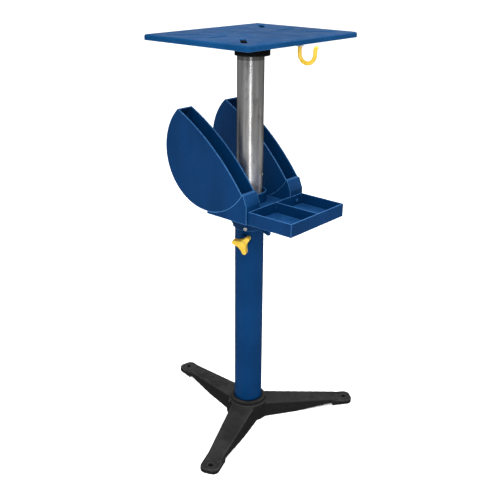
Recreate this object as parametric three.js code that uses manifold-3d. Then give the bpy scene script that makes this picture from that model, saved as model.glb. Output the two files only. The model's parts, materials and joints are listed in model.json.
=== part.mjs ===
// Height-adjustable pedestal stand for a bench grinder.
// Millimetres, +Z up. The origin is on the column's axis, at the floor.
// The operator stands on the -Y side, in front of the tool tray.

import * as THREE from 'three';
import { mergeVertices } from 'three/addons/utils/BufferGeometryUtils.js';
import Module from 'manifold-3d';

const wasm = await Module();
wasm.setup();

// ---------------------------------------------------------------- driving dimensions

const gap = 0.3;           // clearance between two pieces that touch
const facets = 64;         // sides of a tube
const pastFace = 5;        // how far a cutting tool runs past the face it opens

const column = { outer: 30.15, wall: 3.2, bottom: 8.3, top: 520 };
const mast = { outer: 26.6, wall: 2.9, bottom: 300, top: 834, crossHoleAngle: -70.5, crossHole: [5, 565] };
const plug = { bottom: 294, spigotTop: 318, pinRecess: 6 };

const base = {
  legAngles: [81.8, 201.8, 321.8],
  hubTop: 43.4, hubRadius: 39.4, hubSkirt: 49, shoulder: 33.5, socketFloor: 8,
  legStart: 12, legEnd: 214, legHeights: [32, 14.5], legBaseHalf: [37, 20], legTopHalf: [27, 16.5],
  coreStart: 52, coreEnd: 176, coreWall: 6,
  archStart: 110, archEnd: 196, archRise: 6,
  padStart: 196, padEnd: 245, padHalf: 20.5, padCorner: 14, padThick: 11,
  holeAt: 228, holeRadius: 5.5, spotFace: 18,
};
const baseScrew = { angle: 141.8, radius: 3.2, height: 27, inner: 30.6, outer: 45, hex: 1.7, hexDepth: 4 };

const clamp = {
  angle: 206, height: 429, bossRadius: 12, bossOuter: 42,
  studRadius: 5, tipRadius: 3.6, tipLength: 3.5, studOuter: 58,
  knobInner: 46, knobOuter: 61, hubOuter: 63.5, hubRadius: 9.5,
  lobeReach: 16.8, lobeRadius: 4.8, waist: 5.5, firstLobe: 48,
};

const pocket = {
  centre: [38.2, 608.2], radius: 112, wall: 2.5, inner: 48.8, outer: 88,
  tipAngle: 47.6, footAngle: -147, bulge: 13,
};
const saddle = {
  front: -68, back: 36.5, bottom: 491, deck: 507, wall: 2.5, lap: 1,
  rampBottom: 526.7, rampTop: 548.5, rampLean: 0.4,
  sleeveOuter: 34.5, sleeveBore: 31, sleeveBottom: 449, sleeveTop: 528,
  sleeveNeck: 468, sleeveLip: 31.9,
  ribHalf: 2.5, rearRibAngles: [45, 135], frontRibAngle: 270,
};
const tray = { half: 83.5, back: -68.3, front: -174.1, bottom: 490.2, rim: 517, wall: 2.5, floor: 5 };

const plate = {
  size: [324, 258], offset: [3, -3], corner: 6, top: 837.4, sheet: 2.5, skirt: 10.4,
  cornerSlot: [112, 74.5, 66, 12], middleSlot: [97, 0, 56, 10],
};
const flange = {
  offset: [2, -2.3], discRadius: 58, discThick: 7, bossRadius: 34.5, bottom: 797, boltSquare: 33,
};
const hook = {
  rod: 3.8, shankY: -116.8, bend: 17.4, bendZ: 811.5, tipRise: 6, curl: 7, curlAngle: 50,
};

// ---------------------------------------------------------------- finishes

const finish = (color, roughness, metalness) =>
  new THREE.MeshStandardMaterial({ color, roughness, metalness });
const castBlack = finish(0x2b2b2b, 0.75, 0.3);
const flangeBlack = finish(0x161616, 0.6, 0.3);
const bluePaint = finish(0x17477f, 0.4, 0.2);
const bluePlastic = finish(0x164a80, 0.5, 0);
const bareSteel = finish(0x8c8a86, 0.35, 0.9);
const zincSteel = finish(0xb4b6b8, 0.35, 0.9);
const blackSteel = finish(0x2c2c2e, 0.45, 0.8);
const blackPlastic = finish(0x1a1a1a, 0.6, 0);
const yellowPlastic = finish(0xf2d53a, 0.45, 0);

// ---------------------------------------------------------------- solids

const radians = THREE.MathUtils.degToRad;

function solidOf(geometry) {
  const bare = geometry.clone();
  bare.deleteAttribute('normal');
  bare.deleteAttribute('uv');
  const merged = mergeVertices(bare, 1e-4);
  const vertProperties = new Float32Array(merged.attributes.position.array);
  const triVerts = new Uint32Array(merged.index.array);
  return new wasm.Manifold(new wasm.Mesh({ numProp: 3, vertProperties, triVerts }));
}

function geometryOf(solid) {
  const mesh = solid.getMesh();
  const geometry = new THREE.BufferGeometry();
  geometry.setAttribute('position', new THREE.BufferAttribute(mesh.vertProperties, 3));
  geometry.setIndex(new THREE.BufferAttribute(mesh.triVerts, 1));
  return geometry;
}

const join = (first, ...others) => others.reduce((sum, next) => sum.add(next), first);
const cut = (first, ...tools) => tools.reduce((rest, tool) => rest.subtract(tool), first);

// A cylinder or cone on the Z axis, between two heights.
function drum(radius, low, high, sides = facets, topRadius = radius) {
  const geometry = new THREE.CylinderGeometry(topRadius, radius, high - low, sides);
  return geometry.rotateX(Math.PI / 2).translate(0, 0, (low + high) / 2);
}

// Turns what is built on the Z axis to lie along the horizontal direction at an angle from +X.
function radial(geometry, angle, height) {
  return geometry.rotateY(Math.PI / 2).rotateZ(radians(angle)).translate(0, 0, height);
}

function block(x0, x1, y0, y1, z0, z1) {
  const geometry = new THREE.BoxGeometry(x1 - x0, y1 - y0, z1 - z0);
  return geometry.translate((x0 + x1) / 2, (y0 + y1) / 2, (z0 + z1) / 2);
}

// A solid of revolution from a closed profile of [radius, height] points.
function turned(profile, sides = facets) {
  const points = profile.map(([radius, height]) => new THREE.Vector2(radius, height));
  return new THREE.LatheGeometry(points, sides).rotateX(Math.PI / 2);
}

const polygon = (points) => new THREE.Shape(points.map(([x, y]) => new THREE.Vector2(x, y)));

function extruded(shape, depth, curveSegments = 12) {
  return new THREE.ExtrudeGeometry(shape, { depth, bevelEnabled: false, curveSegments });
}

// Stands a [y, z] outline up in the YZ plane, between two values of x.
function sideways(shape, x0, x1, curveSegments = 12) {
  const stand = new THREE.Matrix4().makeBasis(
    new THREE.Vector3(0, 1, 0), new THREE.Vector3(0, 0, 1), new THREE.Vector3(1, 0, 0));
  return extruded(shape, x1 - x0, curveSegments).applyMatrix4(stand).translate(x0, 0, 0);
}

function stadium(length, width) {
  const straight = (length - width) / 2;
  const shape = new THREE.Shape();
  shape.absarc(straight, 0, width / 2, -Math.PI / 2, Math.PI / 2);
  shape.absarc(-straight, 0, width / 2, Math.PI / 2, Math.PI * 1.5);
  return shape;
}

function roundedRectangle(width, height, radius) {
  const shape = new THREE.Shape();
  const [x, y] = [width / 2 - radius, height / 2 - radius];
  const corners = [[x, y], [-x, y], [-x, -y], [x, -y]];
  corners.forEach(([cx, cy], i) => shape.absarc(cx, cy, radius, i * Math.PI / 2, (i + 1) * Math.PI / 2));
  return shape;
}

const stand = new THREE.Group();

function add(name, shape, material, group = stand) {
  const geometry = shape.isBufferGeometry ? shape : geometryOf(shape);
  const mesh = new THREE.Mesh(geometry, material);
  mesh.name = name;
  group.add(mesh);
}

// ---------------------------------------------------------------- fasteners

// A pan-head screw on the Z axis: the head's underside is at z = 0 and the shank runs down.
function panScrew(shank, length, headRadius, headHeight) {
  return turned([
    [0, -length], [shank, -length], [shank, 0], [headRadius, 0],
    [headRadius, headHeight * 0.45], [headRadius * 0.7, headHeight], [0, headHeight],
  ], 20);
}

function hexNut(acrossFlats, hole, low, high) {
  const corner = acrossFlats / 2 / Math.cos(Math.PI / 6);
  return cut(solidOf(drum(corner, low, high, 6)), solidOf(drum(hole, low - 1, high + 1, 24)));
}

// ---------------------------------------------------------------- cast base

// One leg, tapering in width and height from the hub to the pad; inset makes its hollow core.
function legBlock(start, end, inset, low) {
  const along = (distance, [near, far]) =>
    near + (far - near) * (distance - base.legStart) / (base.legEnd - base.legStart);
  const geometry = block(start, end, -1, 1, 0, 1);
  const position = geometry.attributes.position;
  for (let i = 0; i < position.count; i += 1) {
    const x = position.getX(i);
    const upper = position.getZ(i) > 0.5;
    const half = along(x, upper ? base.legTopHalf : base.legBaseHalf) - inset;
    position.setY(i, Math.sign(position.getY(i)) * half);
    position.setZ(i, upper ? along(x, base.legHeights) - inset : low);
  }
  return geometry;
}

// The wedge of air under a leg, between its heel and its pad.
function legArch() {
  const { archStart, archEnd, archRise } = base;
  const side = polygon([[archStart, 0], [archStart, -pastFace], [archEnd, -pastFace], [archEnd, archRise]]);
  return extruded(side, 100).rotateX(Math.PI / 2).translate(0, 50, 0);
}

function footPad() {
  const shape = new THREE.Shape();
  shape.moveTo(base.padStart, base.padHalf);
  shape.lineTo(base.padStart, -base.padHalf);
  for (const side of [-1, 1]) {
    const start = side < 0 ? -Math.PI / 2 : 0;
    shape.absarc(base.padEnd - base.padCorner, side * (base.padHalf - base.padCorner), base.padCorner,
      start, start + Math.PI / 2);
  }
  return extruded(shape, base.padThick, 16);
}

function castBase() {
  const skirt = turned([
    [0, 0], [base.hubSkirt, 0], [base.hubRadius + 3, base.shoulder], [base.hubRadius - 1, base.shoulder + 1],
    [base.hubRadius, base.shoulder + 3.5], [base.hubRadius, base.hubTop - 2],
    [base.hubRadius - 2, base.hubTop], [0, base.hubTop],
  ]);
  const legs = [];
  const voids = [];
  for (const angle of base.legAngles) {
    const turn = radians(angle);
    const core = legBlock(base.coreStart, base.coreEnd, base.coreWall, -pastFace);
    const hole = drum(base.holeRadius, -pastFace, base.padThick + pastFace, 24).translate(base.holeAt, 0, 0);
    const spot = drum(base.spotFace, base.padThick, base.padThick + 20, 48).translate(base.holeAt, 0, 0);
    const leg = legBlock(base.legStart, base.legEnd, 0, 0);
    legs.push(cut(solidOf(leg.rotateZ(turn)), solidOf(legArch().rotateZ(turn))));
    legs.push(solidOf(footPad().rotateZ(turn)));
    voids.push(solidOf(core.rotateZ(turn)), solidOf(hole.rotateZ(turn)), solidOf(spot.rotateZ(turn)));
  }
  const tapped = drum(baseScrew.radius + gap, 0, base.hubSkirt + pastFace, 24);
  voids.push(solidOf(radial(tapped, baseScrew.angle, baseScrew.height)));
  const socket = drum(column.outer + gap, base.socketFloor, base.hubTop + pastFace);
  return cut(join(solidOf(skirt), ...legs), ...voids, solidOf(socket));
}

function baseSetScrew() {
  const body = drum(baseScrew.radius, baseScrew.inner, baseScrew.outer, 24);
  const key = drum(baseScrew.hex, baseScrew.outer - baseScrew.hexDepth, baseScrew.outer + 1, 6);
  return cut(solidOf(body), solidOf(key));
}

add('cast_base', castBase(), castBlack);
add('base_set_screw', radial(geometryOf(baseSetScrew()), baseScrew.angle, baseScrew.height), blackSteel);

// ---------------------------------------------------------------- outer column and its clamp

const holderScrew = { angle: 206, height: 454, seat: 33.4, shank: 2, length: 5, head: 4, headHeight: 2.4 };

function pipe(outer, wall, low, high) {
  return cut(solidOf(drum(outer, low, high)), solidOf(drum(outer - wall, low - pastFace, high + pastFace)));
}

function outerColumn() {
  const clampHole = drum(clamp.studRadius + 0.5, 0, column.outer + pastFace, 24);
  const screwHole = drum(holderScrew.shank + gap, 0, column.outer + pastFace, 16);
  return cut(pipe(column.outer, column.wall, column.bottom, column.top),
    solidOf(radial(clampHole, clamp.angle, clamp.height)),
    solidOf(radial(screwHole, holderScrew.angle, holderScrew.height)));
}

function clampBoss() {
  const nut = drum(clamp.bossRadius, 20, clamp.bossOuter, 32);
  const thread = drum(clamp.studRadius + gap, 0, clamp.bossOuter + pastFace, 24);
  const seat = drum(column.outer + gap, clamp.height - 20, clamp.height + 20);
  return cut(solidOf(radial(nut, clamp.angle, clamp.height)), solidOf(seat),
    solidOf(radial(thread, clamp.angle, clamp.height)));
}

function clampStud() {
  const tip = mast.outer + gap;
  const shoulder = tip + clamp.tipLength;
  const profile = [
    [0, tip], [clamp.tipRadius, tip], [clamp.tipRadius, shoulder - 1.2], [clamp.studRadius, shoulder],
    [clamp.studRadius, clamp.studOuter - 1], [clamp.studRadius - 1, clamp.studOuter], [0, clamp.studOuter],
  ];
  return radial(turned(profile, 24), clamp.angle, clamp.height);
}

// Three round lobes joined by hollow flanks.
function lobedOutline() {
  const shape = new THREE.Shape();
  for (let i = 0; i < 3; i += 1) {
    const lobe = radians(clamp.firstLobe + i * 120);
    const waist = lobe - radians(60);
    const tip = [clamp.lobeReach * Math.cos(lobe), clamp.lobeReach * Math.sin(lobe)];
    const start = lobe - radians(80);
    const enter = [tip[0] + clamp.lobeRadius * Math.cos(start), tip[1] + clamp.lobeRadius * Math.sin(start)];
    if (i > 0) {
      shape.quadraticCurveTo(clamp.waist * Math.cos(waist), clamp.waist * Math.sin(waist), ...enter);
    }
    shape.absarc(...tip, clamp.lobeRadius, start, lobe + radians(80));
  }
  const last = radians(clamp.firstLobe - 60);
  const first = radians(clamp.firstLobe);
  shape.quadraticCurveTo(
    clamp.waist * Math.cos(last), clamp.waist * Math.sin(last),
    clamp.lobeReach * Math.cos(first) + clamp.lobeRadius * Math.cos(first - radians(80)),
    clamp.lobeReach * Math.sin(first) + clamp.lobeRadius * Math.sin(first - radians(80)));
  return shape;
}

// The outline is drawn as seen from outside, with its second axis up.
function clampKnob() {
  const lobes = extruded(lobedOutline(), clamp.knobOuter - clamp.knobInner, 8);
  lobes.translate(0, 0, clamp.knobInner);
  const hub = drum(clamp.hubRadius, clamp.knobInner, clamp.hubOuter, 32, clamp.hubRadius - 1.5);
  const insert = drum(clamp.studRadius + gap, clamp.knobInner - 1, clamp.studOuter + gap, 24);
  const knob = geometryOf(cut(join(solidOf(lobes), solidOf(hub)), solidOf(insert)));
  return radial(knob.rotateZ(Math.PI / 2), clamp.angle, clamp.height);
}

add('lower_tube', outerColumn(), bluePaint);
add('clamp_boss', clampBoss(), bluePaint);
add('clamp_stud', clampStud(), zincSteel);
add('clamp_knob', clampKnob(), yellowPlastic);

// ---------------------------------------------------------------- wheel holder

// The round side of a wheel pocket, cut off by its bulging mouth.
function pocketFace() {
  const [y, z] = pocket.centre;
  const onCircle = (angle) => new THREE.Vector2(
    y + pocket.radius * Math.cos(angle), z + pocket.radius * Math.sin(angle));
  const [tipAngle, footAngle] = [radians(pocket.tipAngle), radians(pocket.footAngle)];
  const tip = onCircle(tipAngle);
  const foot = onCircle(footAngle);
  const chord = tip.distanceTo(foot);
  const mouthRadius = (chord * chord / 4 + pocket.bulge ** 2) / (2 * pocket.bulge);
  const middle = tip.clone().add(foot).divideScalar(2);
  const inward = new THREE.Vector2(tip.y - foot.y, foot.x - tip.x).normalize();
  const mouth = middle.add(inward.multiplyScalar(mouthRadius - pocket.bulge));
  const shape = new THREE.Shape();
  shape.absarc(y, z, pocket.radius, tipAngle, footAngle, true);
  shape.absarc(mouth.x, mouth.y, mouthRadius,
    Math.atan2(foot.y - mouth.y, foot.x - mouth.x), Math.atan2(tip.y - mouth.y, tip.x - mouth.x), true);
  return shape;
}

// A disc on the pocket circle's axis, between two values of x.
function pocketDisc(radius, x0, x1) {
  const [y, z] = pocket.centre;
  return drum(radius, x0, x1, 96).rotateY(Math.PI / 2).translate(0, y, z);
}

const pocketScrew = { angles: [-92, -128], shank: 2, length: 9, head: 4, headHeight: 2.4 };
const pocketMiddle = (pocket.inner + pocket.outer) / 2;

// Places a Z-axis piece on the pocket wall, with +Z towards the circle's centre.
function onPocketWall(geometry, x, angle) {
  const [y, z] = pocket.centre;
  const reach = pocket.radius - pocket.wall - gap;
  return geometry.rotateX(radians(angle + 90)).translate(
    x, y + reach * Math.cos(radians(angle)), z + reach * Math.sin(radians(angle)));
}

function pocketScrewHoles(side) {
  const hole = () => drum(pocketScrew.shank + gap, -20, pastFace, 16);
  return pocketScrew.angles.map((angle) => solidOf(onPocketWall(hole(), side * pocketMiddle, angle)));
}

function wheelPocket(side) {
  const edges = [side * pocket.inner, side * pocket.outer].sort((a, b) => a - b);
  const shell = solidOf(sideways(pocketFace(), ...edges, 48));
  const room = pocketDisc(pocket.radius - pocket.wall, edges[0] + pocket.wall, edges[1] - pocket.wall);
  return cut(shell, solidOf(room), ...pocketScrewHoles(side));
}

const deckHalf = pocket.inner - gap;

// The wedge under a pocket: a flat-bottomed cheek hollowed to the pocket's circle, with a sloping front.
// It laps a little way into the deck, so that the two are one piece.
function wedge(side, inset, bottom) {
  const nearDeck = deckHalf - saddle.lap + inset;
  const edges = [side * nearDeck, side * (pocket.outer - inset)].sort((a, b) => a - b);
  const lean = saddle.rampLean;
  const setIn = inset * (Math.hypot(1, lean) - 1);
  const foot = saddle.front + inset;
  const high = saddle.rampTop - inset;
  const outline = polygon([
    [foot, bottom], [saddle.back - inset, bottom], [saddle.back - inset, high],
    [foot + setIn + lean * (high - saddle.rampBottom), high], [foot, saddle.rampBottom - setIn / lean],
  ]);
  const bowl = pocketDisc(pocket.radius + gap + inset, edges[0] - 1, edges[1] + 1);
  return cut(solidOf(sideways(outline, ...edges)), solidOf(bowl));
}

function rib(outline, angle) {
  const web = polygon(outline);
  const upright = extruded(web, 2 * saddle.ribHalf).rotateX(Math.PI / 2).translate(0, saddle.ribHalf, 0);
  return solidOf(upright.rotateZ(radians(angle)));
}

function holderSaddle() {
  const { front, back, bottom, deck, wall } = saddle;
  const outside = join(solidOf(block(-deckHalf, deckHalf, front, back, bottom, deck)),
    wedge(1, 0, bottom), wedge(-1, 0, bottom));
  const roomHalf = deckHalf - wall;
  const inside = join(
    solidOf(block(-roomHalf, roomHalf, front + wall, back - wall, bottom - pastFace, deck - wall)),
    wedge(1, wall, bottom - pastFace), wedge(-1, wall, bottom - pastFace));
  const root = saddle.sleeveBore + 1;
  const under = deck - 1;
  const rearRib = [
    [root, 450], [33.5, 450], [35.5, 457], [39, 462.5], [44, 466.5], [49, 469.5], [49, under], [root, under],
  ];
  const frontRib = [
    [root, 447], [43, 443.6], [50, 441], [54.5, 441.6], [55.7, 444], [55.7, under], [root, under],
  ];
  const { sleeveOuter, sleeveLip, sleeveBottom, sleeveNeck, sleeveTop } = saddle;
  const sleeve = turned([
    [0, sleeveBottom], [sleeveLip, sleeveBottom], [sleeveOuter, sleeveNeck], [sleeveOuter, sleeveTop], [0, sleeveTop],
  ]);
  const body = join(cut(outside, inside), solidOf(sleeve), rib(frontRib, saddle.frontRibAngle),
    ...saddle.rearRibAngles.map((angle) => rib(rearRib, angle)));
  const bore = drum(saddle.sleeveBore, saddle.sleeveBottom - pastFace, saddle.sleeveTop + pastFace);
  const setHole = radial(drum(holderScrew.shank + gap, 0, 60, 16), holderScrew.angle, holderScrew.height);
  return cut(body, solidOf(bore), solidOf(setHole), ...trayScrewHoles(),
    ...pocketScrewHoles(1), ...pocketScrewHoles(-1));
}

// ---------------------------------------------------------------- tool tray

const trayScrew = { x: 66, z: 505, shank: 2, length: 9, head: 4, headHeight: 2.4 };

// Places a Z-axis piece on the inside of the tray's back wall, with +Z towards the operator.
function onTrayBack(geometry, side) {
  return geometry.rotateX(Math.PI / 2).translate(
    side * trayScrew.x, tray.back - tray.wall - gap, trayScrew.z);
}

function trayScrewHoles() {
  return [1, -1].map((side) => solidOf(onTrayBack(drum(trayScrew.shank + gap, -15, pastFace, 16), side)));
}

function toolTray() {
  const { half, back, front, bottom, rim, wall, floor } = tray;
  const compartment = (x0, x1) =>
    solidOf(block(x0, x1, front + wall, back - wall, bottom + floor, rim + pastFace));
  return cut(solidOf(block(-half, half, front, back, bottom, rim)),
    compartment(-half + wall, -wall / 2), compartment(wall / 2, half - wall), ...trayScrewHoles());
}

add('holder_saddle', holderSaddle(), bluePlastic);
add('tool_tray', toolTray(), bluePlastic);
[['left', -1], ['right', 1]].forEach(([name, side]) => {
  add(`wheel_pocket_${name}`, wheelPocket(side), bluePlastic);
  pocketScrew.angles.forEach((angle, i) => {
    const screw = panScrew(pocketScrew.shank, pocketScrew.length, pocketScrew.head, pocketScrew.headHeight);
    add(`pocket_screw_${name}_${i + 1}`, onPocketWall(screw, side * pocketMiddle, angle), zincSteel);
  });
  const screw = panScrew(trayScrew.shank, trayScrew.length, trayScrew.head, trayScrew.headHeight);
  add(`tray_screw_${name}`, onTrayBack(screw, side), bluePlastic);
});
const sleeveScrew = panScrew(holderScrew.shank, holderScrew.length, holderScrew.head, holderScrew.headHeight);
sleeveScrew.translate(0, 0, holderScrew.seat);
add('holder_set_screw', radial(sleeveScrew, holderScrew.angle, holderScrew.height), zincSteel);

// ---------------------------------------------------------------- sliding mast

function slidingMast() {
  const crossHole = drum(mast.crossHole[0], -mast.outer - pastFace, mast.outer + pastFace, 24);
  return cut(pipe(mast.outer, mast.wall, mast.bottom, mast.top),
    solidOf(radial(crossHole, mast.crossHoleAngle, mast.crossHole[1])));
}

// The plug carries the mast's foot in the outer tube; its cup opens downwards.
function glidePlug() {
  const spigot = mast.outer - mast.wall - gap;
  return turned([
    [0, plug.bottom + plug.pinRecess], [spigot - 6, plug.bottom + plug.pinRecess], [spigot - 6, plug.bottom],
    [mast.outer, plug.bottom], [mast.outer, mast.bottom - gap], [spigot, mast.bottom - gap],
    [spigot, plug.spigotTop], [0, plug.spigotTop],
  ]);
}

add('glide_plug', glidePlug(), blackPlastic);
add('upper_tube', slidingMast(), bareSteel);

// ---------------------------------------------------------------- head: flange, plate and hook

const underside = plate.top - plate.sheet;
const flangeTop = underside - gap;
const plateScrew = { head: 5.6, shank: 3, headDepth: 2.5, sunk: 0.1, bottom: 829.5 };
const signs = [[1, 1], [-1, 1], [-1, -1], [1, -1]];

function columnFlange() {
  const [x, y] = flange.offset;
  const disc = drum(flange.discRadius, flangeTop - flange.discThick, flangeTop).translate(x, y, 0);
  const boss = drum(flange.bossRadius, flange.bottom, flangeTop - flange.discThick + 1).translate(x, y, 0);
  const bore = drum(mast.outer + gap, flange.bottom - pastFace, flangeTop + pastFace);
  const holes = signs.map(([x, y]) => solidOf(
    drum(plateScrew.shank + gap, flange.bottom, flangeTop + pastFace, 20)
      .translate(x * flange.boltSquare, y * flange.boltSquare, 0)));
  return cut(join(solidOf(disc), solidOf(boss)), solidOf(bore), ...holes);
}

// A countersunk screw's outline, or with a margin the hole that it sits in.
function countersunk(margin, bottom, rise) {
  const top = plate.top - plateScrew.sunk;
  const neck = top - plateScrew.headDepth;
  const [head, shank] = [plateScrew.head + margin, plateScrew.shank + margin];
  return turned([
    [0, bottom], [shank, bottom], [shank, neck], [head, top], [head, top + rise], [0, top + rise],
  ], 24);
}

function topPlate() {
  const [width, depth] = plate.size;
  const [x, y] = plate.offset;
  const low = plate.top - plate.skirt;
  const outside = extruded(roundedRectangle(width, depth, plate.corner), plate.skirt).translate(x, y, low);
  const inside = extruded(
    roundedRectangle(width - 2 * plate.sheet, depth - 2 * plate.sheet, plate.corner - plate.sheet),
    plate.skirt - plate.sheet + pastFace).translate(x, y, low - pastFace);
  const slots = signs.map(([sx, sy]) => {
    const [px, py, length, slotWidth] = plate.cornerSlot;
    const slot = extruded(stadium(length, slotWidth), 20, 8).rotateZ(radians(45 * sx * sy));
    return solidOf(slot.translate(x + sx * px, y + sy * py, low));
  });
  const middles = [1, -1].map((side) => {
    const [px, py, length, slotWidth] = plate.middleSlot;
    return solidOf(extruded(stadium(length, slotWidth), 20, 8).translate(x + side * px, y + py, low));
  });
  const sinks = signs.map(([sx, sy]) => solidOf(
    countersunk(gap, low, pastFace).translate(sx * flange.boltSquare, sy * flange.boltSquare, 0)));
  return cut(solidOf(outside), solidOf(inside), ...slots, ...middles, ...sinks);
}

// A round rod: down from the plate, round a half circle, up, then curled outwards at its tip.
function plateHook() {
  const middle = hook.shankY - hook.bend;
  const tipY = middle - hook.bend;
  const tipZ = hook.bendZ + hook.tipRise;
  const route = new THREE.Path();
  route.moveTo(hook.shankY, hook.bendZ + 4);
  route.lineTo(hook.shankY, hook.bendZ);
  route.absarc(middle, hook.bendZ, hook.bend, 0, -Math.PI, true);
  route.lineTo(tipY, tipZ);
  route.absarc(tipY - hook.curl, tipZ, hook.curl, 0, radians(hook.curlAngle));
  const points = route.getSpacedPoints(28).map((point) => new THREE.Vector3(0, point.x, point.y));
  const section = new THREE.Shape().absarc(0, 0, hook.rod, 0, Math.PI * 2);
  const bent = new THREE.ExtrudeGeometry(section, {
    steps: 32, curveSegments: 8, bevelEnabled: false, extrudePath: new THREE.CatmullRomCurve3(points),
  });
  const end = points[points.length - 1];
  const ball = new THREE.SphereGeometry(hook.rod, 16, 12).translate(end.x, end.y, end.z);
  const shank = drum(hook.rod, hook.bendZ + 3, hook.bendZ + 10, 24).translate(0, hook.shankY, 0);
  const thread = drum(hookNut.thread, hook.bendZ + 9, hookNut.top - gap, 24).translate(0, hook.shankY, 0);
  return join(solidOf(bent), solidOf(ball), solidOf(shank), solidOf(thread));
}

const hookNut = { flats: 13, thread: 3.4, top: underside - gap, weld: 6.5, lock: 5 };

add('column_flange', columnFlange(), flangeBlack);
add('top_plate', topPlate(), bluePaint);
signs.forEach(([x, y], i) => {
  const screw = countersunk(0, plateScrew.bottom, 0);
  add(`plate_screw_${i + 1}`, screw.translate(x * flange.boltSquare, y * flange.boltSquare, 0), zincSteel);
});
add('plate_hook', plateHook(), yellowPlastic);
const weldLow = hookNut.top - hookNut.weld;
const lockHigh = weldLow - gap;
const nutAt = (low, high) => geometryOf(hexNut(hookNut.flats, hookNut.thread + gap, low, high))
  .translate(0, hook.shankY, 0);
add('hook_weld_nut', nutAt(weldLow, hookNut.top), bluePaint);
add('hook_lock_nut', nutAt(lockHigh - hookNut.lock, lockHigh), zincSteel);

export default stand;
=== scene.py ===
"""Looks for the bench grinder pedestal stand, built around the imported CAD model. Metres, +Z up."""

import json
import math

import bmesh
import bpy
from mathutils import Matrix, Vector


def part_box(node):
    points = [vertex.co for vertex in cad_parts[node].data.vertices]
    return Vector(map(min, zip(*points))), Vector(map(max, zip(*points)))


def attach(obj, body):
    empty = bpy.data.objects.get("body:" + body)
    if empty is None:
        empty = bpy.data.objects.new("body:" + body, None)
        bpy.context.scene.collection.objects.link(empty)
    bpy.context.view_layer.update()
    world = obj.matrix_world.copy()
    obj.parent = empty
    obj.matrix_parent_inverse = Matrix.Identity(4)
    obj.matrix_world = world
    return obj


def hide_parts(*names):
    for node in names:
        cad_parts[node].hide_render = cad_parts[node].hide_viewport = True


MM = 0.001
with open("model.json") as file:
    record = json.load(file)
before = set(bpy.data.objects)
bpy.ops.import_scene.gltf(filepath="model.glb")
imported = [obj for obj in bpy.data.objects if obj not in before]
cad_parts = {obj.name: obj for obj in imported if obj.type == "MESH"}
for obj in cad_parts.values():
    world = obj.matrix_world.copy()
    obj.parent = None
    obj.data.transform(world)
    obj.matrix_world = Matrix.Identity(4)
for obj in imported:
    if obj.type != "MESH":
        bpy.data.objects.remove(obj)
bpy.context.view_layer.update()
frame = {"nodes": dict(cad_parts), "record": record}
bodies = frame["record"]["behaviour"]["bodies"]
slot_of = {part["node"]: part["material_slot"] for part in frame["record"]["subparts"]}

# ---------------------------------------------------------------- driving dimensions (millimetres)

PLATE_TOP = 837.4
PLATE_CENTRE = (3.0, -3.0)
PLATE_SIZE = (324.0, 258.0)
PLATE_CORNER = 6.0
PLATE_SHEET = 2.5
PLATE_SKIRT = 10.4
PLATE_BEND = 4.0
CORNER_SLOT = (112.0, 74.5, 66.0, 12.0)
MIDDLE_SLOT = (97.0, 0.0, 56.0, 10.0)
PLATE_SCREW_SQUARE = 33.0
PLATE_CUT_LOW = 830.0
PLATE_CUT_HIGH = 842.0

HOOK_ROD = 3.8
HOOK_SHANK_Y = -116.8
HOOK_BEND = 17.4
HOOK_BEND_Z = 811.5
HOOK_TIP_RISE = 6.0
HOOK_CURL = 7.0
HOOK_CURL_ANGLE = 50.0
HOOK_SHANK_TOP = PLATE_TOP - 14.6
THREAD_TURNS = 11
THREAD_CREST = 3.35
THREAD_ROOT = 2.9

SCREW_HEAD_RADIUS = 4.0
SCREW_HEAD_HEIGHT = 2.4
SCREW_SHANK_RADIUS = 2.0
PANEL_SCREW_REACH = 3.3
SET_SCREW_REACH = 1.3
SET_SCREW_ANGLE = 206.0
POCKET_SCREW_ANGLES = (88, 52)

LEG_ANGLES = (81.8, 201.8, 321.8)
FOOT_HOLE_AT = 228.0
PAD_TOP = 11.0
HUB_RADIUS = 39.4
HUB_TOP = 43.4
HUB_SHOULDER = 34.0
SOCKET_RADIUS = 30.45
BASE_SCREW_ANGLE = 141.8
BASE_SCREW_HEIGHT = 27.0
BASE_SCREW_HOLE = 3.5

CAMERA_PLACE = Vector((-1110.916, -964.419, 988.207)) * MM
CAMERA_YAW = -49.104
CAMERA_PITCH = -21.954
CAMERA_ROLL = 0.502
CAMERA_LENS = 54.17
CAMERA_SENSOR = 36.0

# Sky brightness at four heights of the view direction, from straight down (-1) to straight up (1).
SKY = ((-0.7, 0.3), (-0.3, 0.1), (0.1, 0.42), (0.8, 1.3))


# ---------------------------------------------------------------- material helpers

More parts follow.
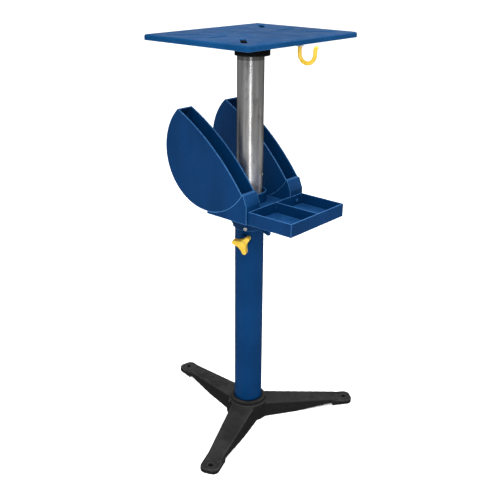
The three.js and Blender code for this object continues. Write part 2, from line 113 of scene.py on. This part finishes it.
class Surface:
    """A Principled material whose patterns lie in the piece's own coordinates, in metres."""

    def __init__(self, name, metallic=0.0, **constants):
        self.material = bpy.data.materials.new(name)
        self.material.use_nodes = True
        self.nodes = self.material.node_tree.nodes
        self.shader = self.nodes["Principled BSDF"]
        self.shader.inputs["Metallic"].default_value = metallic
        for socket, value in constants.items():
            self.shader.inputs[socket.replace("_", " ")].default_value = value
        self.place = self.nodes.new("ShaderNodeTexCoord").outputs["Object"]

    def link(self, source, target):
        self.material.node_tree.links.new(source, target)

    def stretched(self, scale):
        mapping = self.nodes.new("ShaderNodeMapping")
        mapping.inputs["Scale"].default_value = scale
        self.link(self.place, mapping.inputs["Vector"])
        return mapping.outputs["Vector"]

    def noise(self, scale, detail=3.0, stretch=None):
        node = self.nodes.new("ShaderNodeTexNoise")
        node.inputs["Scale"].default_value = scale
        node.inputs["Detail"].default_value = detail
        self.link(self.stretched(stretch) if stretch else self.place, node.inputs["Vector"])
        return node.outputs["Fac"]

    def remap(self, value, low, high, out_low=0.0, out_high=1.0):
        node = self.nodes.new("ShaderNodeMapRange")
        node.interpolation_type = "SMOOTHSTEP"
        limits = {"From Min": low, "From Max": high, "To Min": out_low, "To Max": out_high}
        for socket, number in limits.items():
            node.inputs[socket].default_value = number
        self.link(value, node.inputs["Value"])
        return node.outputs["Result"]

    def math(self, operation, first, second):
        node = self.nodes.new("ShaderNodeMath")
        node.operation = operation
        for socket, value in zip(node.inputs, (first, second)):
            if isinstance(value, (int, float)):
                socket.default_value = value
            else:
                self.link(value, socket)
        return node.outputs["Value"]

    def mix(self, factor, first, second):
        node = self.nodes.new("ShaderNodeMix")
        node.data_type = "RGBA"
        self.link(factor, node.inputs["Factor"])
        for socket, value in ((node.inputs["A"], first), (node.inputs["B"], second)):
            self.set_or_link(socket, value)
        return node.outputs["Result"]

    def set_or_link(self, socket, value):
        if isinstance(value, tuple):
            socket.default_value = (*value, 1.0)
        else:
            self.link(value, socket)

    def height(self):
        node = self.nodes.new("ShaderNodeSeparateXYZ")
        self.link(self.place, node.inputs["Vector"])
        return node.outputs["Z"]

    def edges(self, radius):
        """1 on outside edges, 0 on open faces and in the creases."""
        rounded = self.nodes.new("ShaderNodeBevel")
        rounded.inputs["Radius"].default_value = radius
        rounded.samples = 6
        flat = self.nodes.new("ShaderNodeNewGeometry")
        dot = self.nodes.new("ShaderNodeVectorMath")
        dot.operation = "DOT_PRODUCT"
        self.link(rounded.outputs["Normal"], dot.inputs[0])
        self.link(flat.outputs["Normal"], dot.inputs[1])
        bent = self.remap(dot.outputs["Value"], 0.998, 0.92)
        return self.math("MULTIPLY", bent, self.open_air(2.5 * radius, 0.6, 0.85))

    def facing_up(self, low, high):
        """0 on walls and undersides, 1 on faces that look upwards."""
        flat = self.nodes.new("ShaderNodeNewGeometry")
        split = self.nodes.new("ShaderNodeSeparateXYZ")
        self.link(flat.outputs["True Normal"], split.inputs["Vector"])
        return self.remap(split.outputs["Z"], low, high)

    def open_air(self, distance, closed, clear):
        """0 in creases and seams, 1 where nothing stands within a distance."""
        around = self.nodes.new("ShaderNodeAmbientOcclusion")
        around.inputs["Distance"].default_value = distance
        around.samples = 8
        return self.remap(around.outputs["AO"], closed, clear)

    def colour(self, value):
        self.set_or_link(self.shader.inputs["Base Color"], value)

    def roughness(self, value):
        self.link(value, self.shader.inputs["Roughness"])

    def bump(self, height, strength, distance):
        node = self.nodes.new("ShaderNodeBump")
        node.inputs["Strength"].default_value = strength
        node.inputs["Distance"].default_value = distance
        self.link(height, node.inputs["Height"])
        self.link(node.outputs["Normal"], self.shader.inputs["Normal"])


# ---------------------------------------------------------------- materials

def blue_paint(name, dark, light, edge, gloss):
    """Sprayed enamel: broad tone changes, orange peel, painted shade in the creases and painted highlights
    on the edges.
    """
    surface = Surface(name, Specular_IOR_Level=gloss)
    tone = surface.mix(surface.remap(surface.noise(9, 4), 0.35, 0.65), dark, light)
    speckle = surface.remap(surface.noise(420, 2), 0.62, 0.8)
    tone = surface.mix(surface.math("MULTIPLY", speckle, 0.25), tone, edge)
    # Painted shade: the paint turns darker in creases and seams, where shade falls.
    tone = surface.mix(surface.open_air(6 * MM, 0.3, 0.75), tuple(0.25 * c for c in dark), tone)
    # Painted highlight: a paler line along the outside edges, where light catches them.
    surface.colour(surface.mix(surface.math("MULTIPLY", surface.edges(1.1 * MM), 0.65), tone, edge))
    surface.roughness(surface.remap(surface.noise(30, 5), 0.3, 0.7, 0.34, 0.5))
    surface.bump(surface.noise(700, 3), 0.12, 0.25 * MM)
    return surface.material


def blue_plastic():
    """Moulded plastic: fine grain, dust and painted top light, painted shade in creases, painted highlights
    on edges.
    """
    surface = Surface("blue_plastic", Specular_IOR_Level=0.05)
    flow = surface.remap(surface.noise(14, 5, (1, 1, 0.4)), 0.32, 0.68)
    tone = surface.mix(flow, (0.0005, 0.0188, 0.068), (0.0009, 0.024, 0.086))
    patches = surface.remap(surface.noise(50, 5), 0.3, 0.7, 0.5, 0.9)
    # Partly dust, partly painted light: faces that look upwards turn paler in patches, as the light from
    # above falls on them.
    dust_and_top_light = surface.math("MULTIPLY", surface.facing_up(0.1, 0.6), patches)
    tone = surface.mix(dust_and_top_light, tone, (0.009, 0.055, 0.168))
    scuff = surface.remap(surface.noise(260, 3, (1, 0.3, 1)), 0.64, 0.78)
    tone = surface.mix(surface.math("MULTIPLY", scuff, 0.3), tone, (0.015, 0.07, 0.17))
    # Painted shade: the plastic turns nearly black in creases and seams, where shade falls.
    tone = surface.mix(surface.open_air(4 * MM, 0.25, 0.6), (0.0003, 0.007, 0.024), tone)
    # Painted highlight: a paler line along the outside edges, where light catches them.
    paler_edges = surface.math("MULTIPLY", surface.edges(1.6 * MM), 0.9)
    surface.colour(surface.mix(paler_edges, tone, (0.06, 0.19, 0.41)))
    surface.roughness(surface.remap(surface.noise(60, 4), 0.3, 0.7, 0.38, 0.58))
    surface.bump(surface.noise(1500, 2), 0.15, 0.15 * MM)
    return surface.material


def bare_steel():
    """Drawn tube: lengthwise streaks, dark mottling, a painted shadow band under the flange, worn and rusty
    below.
    """
    surface = Surface("bare_steel", metallic=1.0, Anisotropic=0.8, Anisotropic_Rotation=0.25)
    surface.shader.inputs["Specular Tint"].default_value = (0.25, 0.25, 0.25, 1)
    tangent = surface.nodes.new("ShaderNodeTangent")
    tangent.direction_type = "RADIAL"
    tangent.axis = "Z"
    surface.link(tangent.outputs["Tangent"], surface.shader.inputs["Tangent"])
    streaks = surface.remap(surface.noise(220, 4, (1, 1, 0.03)), 0.3, 0.7)
    tone = surface.mix(streaks, (0.47, 0.465, 0.455), (0.72, 0.71, 0.7))
    worn = surface.remap(surface.height(), 0.66, 0.53)
    tone = surface.mix(surface.math("MULTIPLY", worn, 0.9), tone, (0.97, 0.96, 0.95))
    mottle = surface.remap(surface.noise(45, 6, (1, 1, 0.6)), 0.56, 0.76)
    tone = surface.mix(surface.math("MULTIPLY", mottle, 0.6), tone, (0.17, 0.165, 0.16))
    low = surface.remap(surface.height(), 0.62, 0.52)
    rust = surface.math("MULTIPLY", low, surface.remap(surface.noise(30, 5), 0.42, 0.66))
    tone = surface.mix(surface.math("MULTIPLY", rust, 0.7), tone, (0.26, 0.17, 0.10))
    # Painted shadow: a dark band on the tube just below the flange, where the flange shades it.
    flange_shadow = surface.remap(surface.height(), 0.7885, 0.7895)
    surface.colour(surface.mix(surface.math("MULTIPLY", flange_shadow, 0.6), tone, (0.07, 0.068, 0.065)))
    surface.roughness(surface.remap(surface.noise(90, 5, (1, 1, 0.2)), 0.3, 0.7, 0.28, 0.44))
    surface.bump(surface.noise(500, 4, (1, 1, 0.08)), 0.2, 0.1 * MM)
    return surface.material


def cast_black(name, dark, light, grain):
    """Black paint over a sand casting: pitted grain, painted light on upper faces, painted shade on walls,
    painted edge highlights.
    """
    surface = Surface(name, Specular_IOR_Level=0.06)
    tone = surface.mix(surface.remap(surface.noise(25, 5), 0.35, 0.65), dark, light)
    # Painted light and shade: upper faces keep the full tone, walls and undersides turn darker, as the
    # light from above falls.
    tone = surface.mix(surface.facing_up(0.3, 0.8), tuple(0.6 * c for c in dark), tone)
    pits = surface.remap(surface.noise(650, 3), 0.55, 0.72)
    tone = surface.mix(surface.math("MULTIPLY", pits, 0.5), tone, tuple(1.6 * c for c in light))
    # Painted highlight: a paler line along the outside edges, where light catches them.
    paler_edges = surface.math("MULTIPLY", surface.edges(4.5 * MM), 0.9)
    surface.colour(surface.mix(paler_edges, tone, tuple(3.5 * c for c in light)))
    surface.roughness(surface.remap(surface.noise(80, 4), 0.3, 0.7, 0.55, 0.8))
    fine = surface.math("MULTIPLY", surface.noise(1200, 2), 0.4)
    surface.bump(surface.math("ADD", surface.noise(380, 5), fine), grain, 0.6 * MM)
    return surface.material


def plated_steel(name, dark, light, edge):
    """Plating with a fine, dull grain that is rubbed bright on its edges."""
    surface = Surface(name, metallic=0.7)
    tone = surface.mix(surface.remap(surface.noise(300, 4), 0.35, 0.7), dark, light)
    surface.colour(surface.mix(surface.math("MULTIPLY", surface.edges(0.4 * MM), 0.5), tone, edge))
    surface.roughness(surface.remap(surface.noise(500, 3), 0.3, 0.7, 0.35, 0.55))
    surface.bump(surface.noise(900, 3), 0.15, 0.05 * MM)
    return surface.material


def yellow_plastic():
    """Soft yellow coating: nearly even, with small scuffs and paler edges."""
    surface = Surface("yellow_plastic", Coat_Weight=0.2, Coat_Roughness=0.2, Subsurface_Weight=0.05)
    flow = surface.remap(surface.noise(60, 4), 0.35, 0.65)
    tone = surface.mix(flow, (0.49, 0.32, 0.014), (0.55, 0.365, 0.023))
    scuff = surface.remap(surface.noise(500, 3), 0.68, 0.85)
    tone = surface.mix(surface.math("MULTIPLY", scuff, 0.2), tone, (0.45, 0.28, 0.03))
    paler_edges = surface.math("MULTIPLY", surface.edges(0.9 * MM), 0.4)
    surface.colour(surface.mix(paler_edges, tone, (0.8, 0.62, 0.12)))
    surface.roughness(surface.remap(surface.noise(120, 4), 0.3, 0.7, 0.3, 0.45))
    surface.bump(surface.noise(800, 2), 0.06, 0.1 * MM)
    return surface.material


def black_plastic():
    """Moulded black plastic with a faint mottle."""
    surface = Surface("black_plastic")
    surface.colour(surface.mix(surface.noise(90, 4), (0.012, 0.012, 0.012), (0.03, 0.03, 0.03)))
    surface.roughness(surface.remap(surface.noise(200, 3), 0.3, 0.7, 0.45, 0.6))
    surface.bump(surface.noise(900, 2), 0.15, 0.1 * MM)
    return surface.material


finishes = {
    "cast_black": cast_black("cast_black", (0.010, 0.010, 0.010), (0.018, 0.018, 0.018), 0.5),
    "flange_black": cast_black("flange_black", (0.004, 0.004, 0.004), (0.007, 0.007, 0.007), 0.25),
    "blue_paint": blue_paint(
        "blue_paint", (0.0006, 0.0205, 0.074), (0.001, 0.0255, 0.09), (0.02, 0.09, 0.22), 0.03),
    # A lighter copy of the blue paint for the top plate and its screws; the lighter tone is painted light
    # from above.
    "lit_plate_paint": blue_paint(
        "lit_plate_paint", (0.0015, 0.03, 0.092), (0.0035, 0.038, 0.115), (0.05, 0.15, 0.33), 0.02),
    "blue_plastic": blue_plastic(),
    "bare_steel": bare_steel(),
    "zinc_steel": plated_steel("zinc_steel", (0.48, 0.49, 0.5), (0.66, 0.66, 0.65), (0.8, 0.8, 0.8)),
    "black_steel": plated_steel("black_steel", (0.02, 0.02, 0.021), (0.05, 0.05, 0.05), (0.2, 0.2, 0.2)),
    "black_plastic": black_plastic(),
    "yellow_plastic": yellow_plastic(),
}


# ---------------------------------------------------------------- mesh helpers, in millimetres

def piece_from(mesh_builder, name):
    """A new object at the origin, in metres, from a bmesh in millimetres."""
    bmesh.ops.recalc_face_normals(mesh_builder, faces=mesh_builder.faces)
    bmesh.ops.scale(mesh_builder, vec=(MM, MM, MM), verts=mesh_builder.verts)
    mesh = bpy.data.meshes.new(name)
    mesh_builder.to_mesh(mesh)
    mesh_builder.free()
    piece = bpy.data.objects.new(name, mesh)
    bpy.context.scene.collection.objects.link(piece)
    return piece


def bridge(builder, rings, closed=False):
    """Joins rings of vertices that have equal counts with quads."""
    pairs = list(zip(rings, rings[1:])) + ([(rings[-1], rings[0])] if closed else [])
    for near, far in pairs:
        for i in range(len(near)):
            j = (i + 1) % len(near)
            builder.faces.new((near[i], near[j], far[j], far[i]))


def turned(builder, profile, place=Matrix(), sides=64, ring=False):
    """A solid of revolution about local Z. A profile's ends get caps unless it is a closed ring."""
    rings = []
    for radius, height in profile:
        turn = (2 * math.pi * i / sides for i in range(sides))
        corners = [Vector((radius * math.cos(a), radius * math.sin(a), height)) for a in turn]
        rings.append([builder.verts.new(place @ corner) for corner in corners])
    bridge(builder, rings, closed=ring)
    if not ring:
        builder.faces.new(rings[0])
        builder.faces.new(rings[-1])


def swept(builder, points, radii, sides=24):
    """A round rod along points that lie in the YZ plane."""
    rings = []
    for i, (point, radius) in enumerate(zip(points, radii)):
        ahead = points[min(i + 1, len(points) - 1)] - points[max(i - 1, 0)]
        across = Vector((0, -ahead.z, ahead.y)).normalized()
        sideways = Vector((1, 0, 0))
        turn = (2 * math.pi * k / sides for k in range(sides))
        spokes = [math.cos(a) * across + math.sin(a) * sideways for a in turn]
        rings.append([builder.verts.new(point + radius * spoke) for spoke in spokes])
    bridge(builder, rings)
    builder.faces.new(rings[0])
    builder.faces.new(rings[-1])


def prism(builder, outline, low, high, place=Matrix()):
    """A straight prism along local Z, from an outline of (x, y) points."""
    rings = [[builder.verts.new(place @ Vector((x, y, z))) for x, y in outline] for z in (low, high)]
    bridge(builder, rings)
    builder.faces.new(rings[0])
    builder.faces.new(rings[1])


def stadium(length, width, steps=12):
    """The outline of a slot with round ends, along X."""
    reach = (length - width) / 2
    points = []
    for side, start in ((1, -math.pi / 2), (-1, math.pi / 2)):
        turn = (start + math.pi * i / steps for i in range(steps + 1))
        points += [(side * reach + width / 2 * math.cos(a), width / 2 * math.sin(a)) for a in turn]
    return points


def rounded_rectangle(width, depth, radius, steps=8):
    """The outline of a rectangle with round corners, in order round it."""
    points = []
    for quarter, (sx, sy) in enumerate(((1, 1), (-1, 1), (-1, -1), (1, -1))):
        centre = (sx * (width / 2 - radius), sy * (depth / 2 - radius))
        turn = (math.pi / 2 * (quarter + i / steps) for i in range(steps + 1))
        points += [(centre[0] + radius * math.cos(a), centre[1] + radius * math.sin(a)) for a in turn]
    return points


def quarter_bend(radius, start, steps=6):
    """(inset, rise) pairs round a quarter circle, from the wall to the top face."""
    turn = (math.pi / 2 * i / steps for i in range(steps + 1))
    return [(radius * (1 - math.cos(a)), start + radius * math.sin(a)) for a in turn]


def turn_about_z(angle, distance=0.0, height=0.0):
    """A frame at a distance from the column's axis, turned to an angle from +X."""
    return Matrix.Rotation(math.radians(angle), 4, "Z") @ Matrix.Translation((distance, 0, height))


def outward(angle, height):
    """Local Z points outwards from the column's axis at an angle from +X."""
    return turn_about_z(angle, 0, height) @ Matrix.Rotation(math.pi / 2, 4, "Y")


# ---------------------------------------------------------------- finishing helpers

def bake_modifiers(piece):
    """Replaces the piece's mesh by what its modifiers make of it."""
    evaluated = piece.evaluated_get(bpy.context.evaluated_depsgraph_get())
    mesh = bpy.data.meshes.new_from_object(evaluated)
    piece.modifiers.clear()
    piece.data = mesh


def carve(piece, cutter):
    """Cuts one object out of another and removes the cutter."""
    modifier = piece.modifiers.new("carve", "BOOLEAN")
    modifier.operation = "DIFFERENCE"
    modifier.solver = "EXACT"
    modifier.object = cutter
    bake_modifiers(piece)
    bpy.data.objects.remove(cutter)


def smooth_shade(piece, angle):
    """Smooth shading that keeps every edge sharper than an angle."""
    for polygon in piece.data.polygons:
        polygon.use_smooth = True
    piece.data.set_sharp_from_angle(angle=math.radians(angle))


def round_edges(piece, width):
    """Rounds every edge sharper than 30 degrees and shades the rest smooth."""
    weld = piece.modifiers.new("weld", "WELD")
    weld.merge_threshold = 0.01 * MM
    flat = piece.modifiers.new("flat", "DECIMATE")
    flat.decimate_type = "DISSOLVE"
    flat.angle_limit = math.radians(1.0)
    bevel = piece.modifiers.new("bevel", "BEVEL")
    bevel.width = width * MM
    bevel.segments = 3
    bevel.limit_method = "ANGLE"
    bevel.angle_limit = math.radians(30)
    normals = piece.modifiers.new("normals", "WEIGHTED_NORMAL")
    normals.keep_sharp = True
    for polygon in piece.data.polygons:
        polygon.use_smooth = True


def cast_copy(node, name, voxel, passes):
    """A copy of a CAD node with every edge softened, as a sand casting or a moulding has them."""
    piece = bpy.data.objects.new(name, frame["nodes"][node].data.copy())
    bpy.context.scene.collection.objects.link(piece)
    remesh = piece.modifiers.new("remesh", "REMESH")
    remesh.mode = "VOXEL"
    remesh.voxel_size = voxel * MM
    soften = piece.modifiers.new("soften", "SMOOTH")
    soften.iterations = passes
    soften.factor = 0.5
    bake_modifiers(piece)
    return piece


def body_of_node(node):
    return next(body for body, nodes in bodies.items() if node in nodes)


def finish_piece(piece, node, finish=None):
    """Gives a piece its material, and makes it stand for a CAD node."""
    slot = slot_of[node]
    piece.data.materials.clear()
    piece.data.materials.append(finishes[finish or slot])
    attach(piece, body_of_node(node))
    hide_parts(node)


# ---------------------------------------------------------------- cast base

def hub_rim_cutter(builder):
    """Leaves the turned rim and the shoulder groove round the column's socket."""
    top = HUB_TOP + 8
    turned(builder, [
        (HUB_RADIUS - 2.6, HUB_TOP), (HUB_RADIUS - 0.8, HUB_TOP - 0.8), (HUB_RADIUS, HUB_TOP - 2.6),
        (HUB_RADIUS, HUB_SHOULDER + 1.4), (HUB_RADIUS + 1.2, HUB_SHOULDER - 0.6),
        (HUB_RADIUS + 2.4, HUB_SHOULDER + 0.6), (62, HUB_SHOULDER + 4), (62, top), (HUB_RADIUS - 2.6, top),
    ], sides=128, ring=True)


def cast_base():
    """The casting with soft edges, a bored socket, spot-faced bolt holes and the set screw's hole."""
    piece = cast_copy("cast_base", "base_casting", 1.5, 7)
    cutters = bmesh.new()
    hub_rim_cutter(cutters)
    socket = [(SOCKET_RADIUS, 8), (SOCKET_RADIUS, HUB_TOP - 1.6), (SOCKET_RADIUS + 1.8, HUB_TOP + 1)]
    turned(cutters, socket, sides=96)
    for angle in LEG_ANGLES:
        pad = turn_about_z(angle, FOOT_HOLE_AT)
        turned(cutters, [(5.5, -3), (5.5, PAD_TOP - 1), (6.6, PAD_TOP + 0.4)], pad, 40)
        turned(cutters, [(17.0, PAD_TOP), (18.2, PAD_TOP + 9)], pad, 64)
    set_screw = outward(BASE_SCREW_ANGLE, BASE_SCREW_HEIGHT)
    turned(cutters, [(BASE_SCREW_HOLE, 25), (BASE_SCREW_HOLE, 52)], set_screw, 32)
    carve(piece, piece_from(cutters, "base_cutters"))
    smooth_shade(piece, 40)
    finish_piece(piece, "cast_base")


# ---------------------------------------------------------------- head

def plate_ring(builder, inset, height):
    """The plate's outline at a height, drawn in by an inset."""
    place = Matrix.Translation((*PLATE_CENTRE, 0))
    width, depth = (side - 2 * inset for side in PLATE_SIZE)
    outline = rounded_rectangle(width, depth, PLATE_CORNER - inset)
    return [builder.verts.new(place @ Vector((x, y, height))) for x, y in outline]


def plate_shell():
    """The folded sheet: an outer skin and an inner one, joined along the skirt's lower edge."""
    low = PLATE_TOP - PLATE_SKIRT
    outer = [(0.6, low), (0.0, low + 0.6)] + quarter_bend(PLATE_BEND, PLATE_TOP - PLATE_BEND)
    inner_bend = PLATE_BEND - PLATE_SHEET
    inner_start = PLATE_TOP - PLATE_SHEET - inner_bend
    inner = [(PLATE_SHEET + inset, rise) for inset, rise in reversed(quarter_bend(inner_bend, inner_start))]
    inner += [(PLATE_SHEET, low + 0.6), (PLATE_SHEET - 0.6, low)]
    builder = bmesh.new()
    outer_rings = [plate_ring(builder, *step) for step in outer]
    inner_rings = [plate_ring(builder, *step) for step in inner]
    bridge(builder, outer_rings)
    bridge(builder, inner_rings)
    bridge(builder, [inner_rings[-1], outer_rings[0]])
    builder.faces.new(outer_rings[-1])
    builder.faces.new(inner_rings[0])
    return piece_from(builder, "plate_pressing")


def plate_cutters():
    """Four diagonal slots, two crosswise slots and four countersunk screw holes."""
    x, y = PLATE_CENTRE
    builder = bmesh.new()
    for sx, sy in ((1, 1), (-1, 1), (-1, -1), (1, -1)):
        px, py, length, width = CORNER_SLOT
        middle = Matrix.Translation((x + sx * px, y + sy * py, 0))
        slot = middle @ Matrix.Rotation(math.radians(45 * sx * sy), 4, "Z")
        prism(builder, stadium(length, width), PLATE_CUT_LOW, PLATE_CUT_HIGH, slot)
        sink = Matrix.Translation((sx * PLATE_SCREW_SQUARE, sy * PLATE_SCREW_SQUARE, 0))
        bore = [(3.3, 832), (3.3, PLATE_TOP - 2.6), (6.3, PLATE_TOP + 0.3), (6.3, PLATE_CUT_HIGH)]
        turned(builder, bore, sink, 40)
    for side in (1, -1):
        px, py, length, width = MIDDLE_SLOT
        slot = Matrix.Translation((x + side * px, y + py, 0))
        prism(builder, stadium(length, width), PLATE_CUT_LOW, PLATE_CUT_HIGH, slot)
    return piece_from(builder, "plate_cutters")


def top_plate():
    """The folded plate with its slots and holes, and their edges broken."""
    piece = plate_shell()
    carve(piece, plate_cutters())
    smooth_shade(piece, 30)
    bevel = piece.modifiers.new("bevel", "BEVEL")
    bevel.width = 0.35 * MM
    bevel.segments = 2
    bevel.limit_method = "ANGLE"
    bevel.angle_limit = math.radians(50)
    finish_piece(piece, "top_plate", "lit_plate_paint")


def hook_route():
    """Points down the shank, round the bend, up and out along the curled tip."""
    middle = Vector((0, HOOK_SHANK_Y - HOOK_BEND, HOOK_BEND_Z))
    points = [Vector((0, HOOK_SHANK_Y, z)) for z in (HOOK_SHANK_TOP, HOOK_BEND_Z + 6, HOOK_BEND_Z + 3)]
    for i in range(33):
        turn = -math.pi * i / 32
        points.append(middle + HOOK_BEND * Vector((0, math.cos(turn), math.sin(turn))))
    tip_y = middle.y - HOOK_BEND
    tip_z = HOOK_BEND_Z + HOOK_TIP_RISE
    points.append(Vector((0, tip_y, (HOOK_BEND_Z + tip_z) / 2)))
    for i in range(11):
        turn = math.radians(HOOK_CURL_ANGLE) * i / 10
        away, up = HOOK_CURL * (1 - math.cos(turn)), HOOK_CURL * math.sin(turn)
        points.append(Vector((0, tip_y - away, tip_z + up)))
    return points


def plate_hook():
    """A coated rod with a rounded tip, threaded where it passes through its two nuts."""
    points = hook_route()
    radii = [HOOK_ROD] * len(points)
    end, ahead = points[-1], (points[-1] - points[-2]).normalized()
    for i in range(1, 9):
        turn = math.radians(11 * i)
        points.append(end + ahead * (HOOK_ROD * math.sin(turn)))
        radii.append(HOOK_ROD * math.cos(turn))
    builder = bmesh.new()
    swept(builder, points, radii)
    threads = []
    for i in range(THREAD_TURNS):
        threads += [(THREAD_CREST, HOOK_SHANK_TOP + i), (THREAD_ROOT, HOOK_SHANK_TOP + i + 0.5)]
    turned(builder, threads, Matrix.Translation((0, HOOK_SHANK_Y, 0)), 24)
    piece = piece_from(builder, "coated_hook")
    smooth_shade(piece, 50)
    finish_piece(piece, "plate_hook")


# ---------------------------------------------------------------- knob and screws

def clamp_knob():
    """The three-lobed knob with every edge softened."""
    piece = cast_copy("clamp_knob", "soft_knob", 0.8, 9)
    smooth_shade(piece, 60)
    finish_piece(piece, "clamp_knob")


def cross_recess(builder, place, size, top, depth):
    """A plus-shaped cutter that reaches down from above a head's top."""
    half, narrow = size / 2, size * 0.13
    arm = ((half, -narrow), (half, narrow), (narrow, narrow))
    quarters = ((1, 0), (0, 1), (-1, 0), (0, -1))
    outline = [(x * c - y * s, x * s + y * c) for c, s in quarters for x, y in arm]
    prism(builder, outline, top - depth, top + 2, place)


def axis_frame(node, axis):
    """A frame whose local Z runs along axis through the middle of a CAD node."""
    low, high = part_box(node)
    middle = (low + high) / 2 / MM
    return Matrix.Translation(middle) @ Vector(axis).to_track_quat("Z", "Y").to_matrix().to_4x4()


def screw(node, axis, reach):
    """A pan-head screw with a cross recess. The head sits at a reach from the CAD node's middle."""
    radius, height = SCREW_HEAD_RADIUS, SCREW_HEAD_HEIGHT
    place = axis_frame(node, axis)
    builder = bmesh.new()
    dome = [(radius * math.cos(a), reach + height * (0.35 + 0.65 * math.sin(a)))
            for a in (math.pi / 2 * i / 6 for i in range(6))]
    shank = [(SCREW_SHANK_RADIUS, -reach - height), (SCREW_SHANK_RADIUS, reach), (radius, reach)]
    turned(builder, shank + dome + [(0.3, reach + height)], place, 40)
    piece = piece_from(builder, node + "_fine")
    cutter = bmesh.new()
    cross_recess(cutter, place, radius * 1.15, reach + height, height * 0.6)
    carve(piece, piece_from(cutter, "recess"))
    smooth_shade(piece, 40)
    finish_piece(piece, node)


def all_screws():
    for side in ("left", "right"):
        for number, angle in enumerate(POCKET_SCREW_ANGLES, 1):
            tilt = math.radians(angle)
            screw(f"pocket_screw_{side}_{number}", (0, math.cos(tilt), math.sin(tilt)), PANEL_SCREW_REACH)
        screw(f"tray_screw_{side}", (0, -1, 0), PANEL_SCREW_REACH)
    turn = math.radians(SET_SCREW_ANGLE)
    screw("holder_set_screw", (math.cos(turn), math.sin(turn), 0), SET_SCREW_REACH)


# ---------------------------------------------------------------- CAD nodes that keep their shape

# Width in millimetres of the rounding on each node's edges.
EDGE_WIDTHS = {
    "holder_saddle": 0.7, "tool_tray": 0.7, "wheel_pocket_left": 0.7, "wheel_pocket_right": 0.7,
    "column_flange": 1.2, "clamp_boss": 1.2, "lower_tube": 0.5, "upper_tube": 0.4, "glide_plug": 0.6,
    "hook_weld_nut": 0.5, "hook_lock_nut": 0.5, "clamp_stud": 0.3, "base_set_screw": 0.3,
    "plate_screw_1": 0.2, "plate_screw_2": 0.2, "plate_screw_3": 0.2, "plate_screw_4": 0.2,
}


def dress_cad_nodes():
    """Materials and rounded edges on the nodes that keep the CAD model's own shape."""
    for node, width in EDGE_WIDTHS.items():
        piece = frame["nodes"][node]
        piece.data.materials.clear()
        finish = "lit_plate_paint" if node.startswith("plate_screw") else slot_of[node]
        piece.data.materials.append(finishes[finish])
        round_edges(piece, width)


# ---------------------------------------------------------------- studio

def camera():
    yaw, pitch, roll = (math.radians(a) for a in (CAMERA_YAW, CAMERA_PITCH, CAMERA_ROLL))
    ahead = math.cos(pitch) * Vector((-math.sin(yaw), math.cos(yaw), 0))
    forward = ahead + Vector((0, 0, math.sin(pitch)))
    level = Vector((math.cos(yaw), math.sin(yaw), 0))
    upright = level.cross(forward)
    right = math.cos(roll) * level + math.sin(roll) * upright
    up = -math.sin(roll) * level + math.cos(roll) * upright
    lens = bpy.data.cameras.new("camera")
    lens.lens = CAMERA_LENS
    lens.sensor_width = CAMERA_SENSOR
    lens.clip_end = 100
    rig = bpy.data.objects.new("camera", lens)
    aim = Matrix((right, up, -forward)).transposed().to_4x4()
    rig.matrix_world = Matrix.Translation(CAMERA_PLACE) @ aim
    bpy.context.scene.collection.objects.link(rig)
    bpy.context.scene.camera = rig


def area_light(name, azimuth, elevation, distance, size, power, diffuse_share):
    """A rectangular soft box aimed at the middle of the stand."""
    middle = Vector((0, 0, 0.5))
    a, e = math.radians(azimuth), math.radians(elevation)
    away = Vector((math.cos(a) * math.cos(e), math.sin(a) * math.cos(e), math.sin(e)))
    data = bpy.data.lights.new(name, "AREA")
    data.shape = "RECTANGLE"
    data.size, data.size_y = size
    data.energy = power
    data.diffuse_factor = diffuse_share
    lamp = bpy.data.objects.new(name, data)
    lamp.location = middle + distance * away
    lamp.rotation_euler = away.to_track_quat("Z", "Y").to_euler()
    bpy.context.scene.collection.objects.link(lamp)


def sky():
    """A grey sky, brighter overhead than at the horizon."""
    world = bpy.data.worlds.new("studio")
    bpy.context.scene.world = world
    world.use_nodes = True
    nodes, links = world.node_tree.nodes, world.node_tree.links
    direction = nodes.new("ShaderNodeTexCoord")
    split = nodes.new("ShaderNodeSeparateXYZ")
    ramp = nodes.new("ShaderNodeValToRGB")
    ramp.color_ramp.elements.new(0.5)
    ramp.color_ramp.elements.new(0.65)
    for element, (height, strength) in zip(ramp.color_ramp.elements, SKY):
        element.position = (height + 1) / 2
        element.color = (strength, strength, strength, 1)
    shift = nodes.new("ShaderNodeMath")
    shift.operation = "MULTIPLY_ADD"
    shift.inputs[1].default_value = 0.5
    shift.inputs[2].default_value = 0.5
    links.new(direction.outputs["Generated"], split.inputs["Vector"])
    links.new(split.outputs["Z"], shift.inputs[0])
    links.new(shift.outputs["Value"], ramp.inputs["Fac"])
    links.new(ramp.outputs["Color"], nodes["Background"].inputs["Strength"])
    nodes["Background"].inputs["Color"].default_value = (1, 1, 1, 1)


def paper_floor():
    """A plain pale floor that gives off a little light, so that it reads as white paper."""
    bpy.ops.mesh.primitive_plane_add(size=80, location=(0, 0, -0.2 * MM))
    floor = bpy.context.active_object
    floor.name = "floor"
    paper = bpy.data.materials.new("floor")
    paper.use_nodes = True
    shader = paper.node_tree.nodes["Principled BSDF"]
    shader.inputs["Base Color"].default_value = (0.9, 0.9, 0.9, 1)
    shader.inputs["Roughness"].default_value = 0.9
    shader.inputs["Emission Color"].default_value = (1, 1, 1, 1)
    shader.inputs["Emission Strength"].default_value = 0.3
    floor.data.materials.append(paper)
    floor.visible_glossy = False


def studio():
    sky()
    paper_floor()
    area_light("streak", 221, 30, 3.0, (0.24, 2.6), 62, 0.2)
    area_light("top", 200, 80, 3.0, (2.5, 2.5), 105, 1.0)
    area_light("left_fill", 170, 25, 3.0, (1.2, 2.5), 6, 1.0)
    area_light("edge", 344, 42, 2.5, (1.6, 0.3), 18, 0.02)
    bpy.context.scene.view_settings.view_transform = "Standard"


camera()
studio()
cast_base()
top_plate()
plate_hook()
clamp_knob()
all_screws()
dress_cad_nodes()
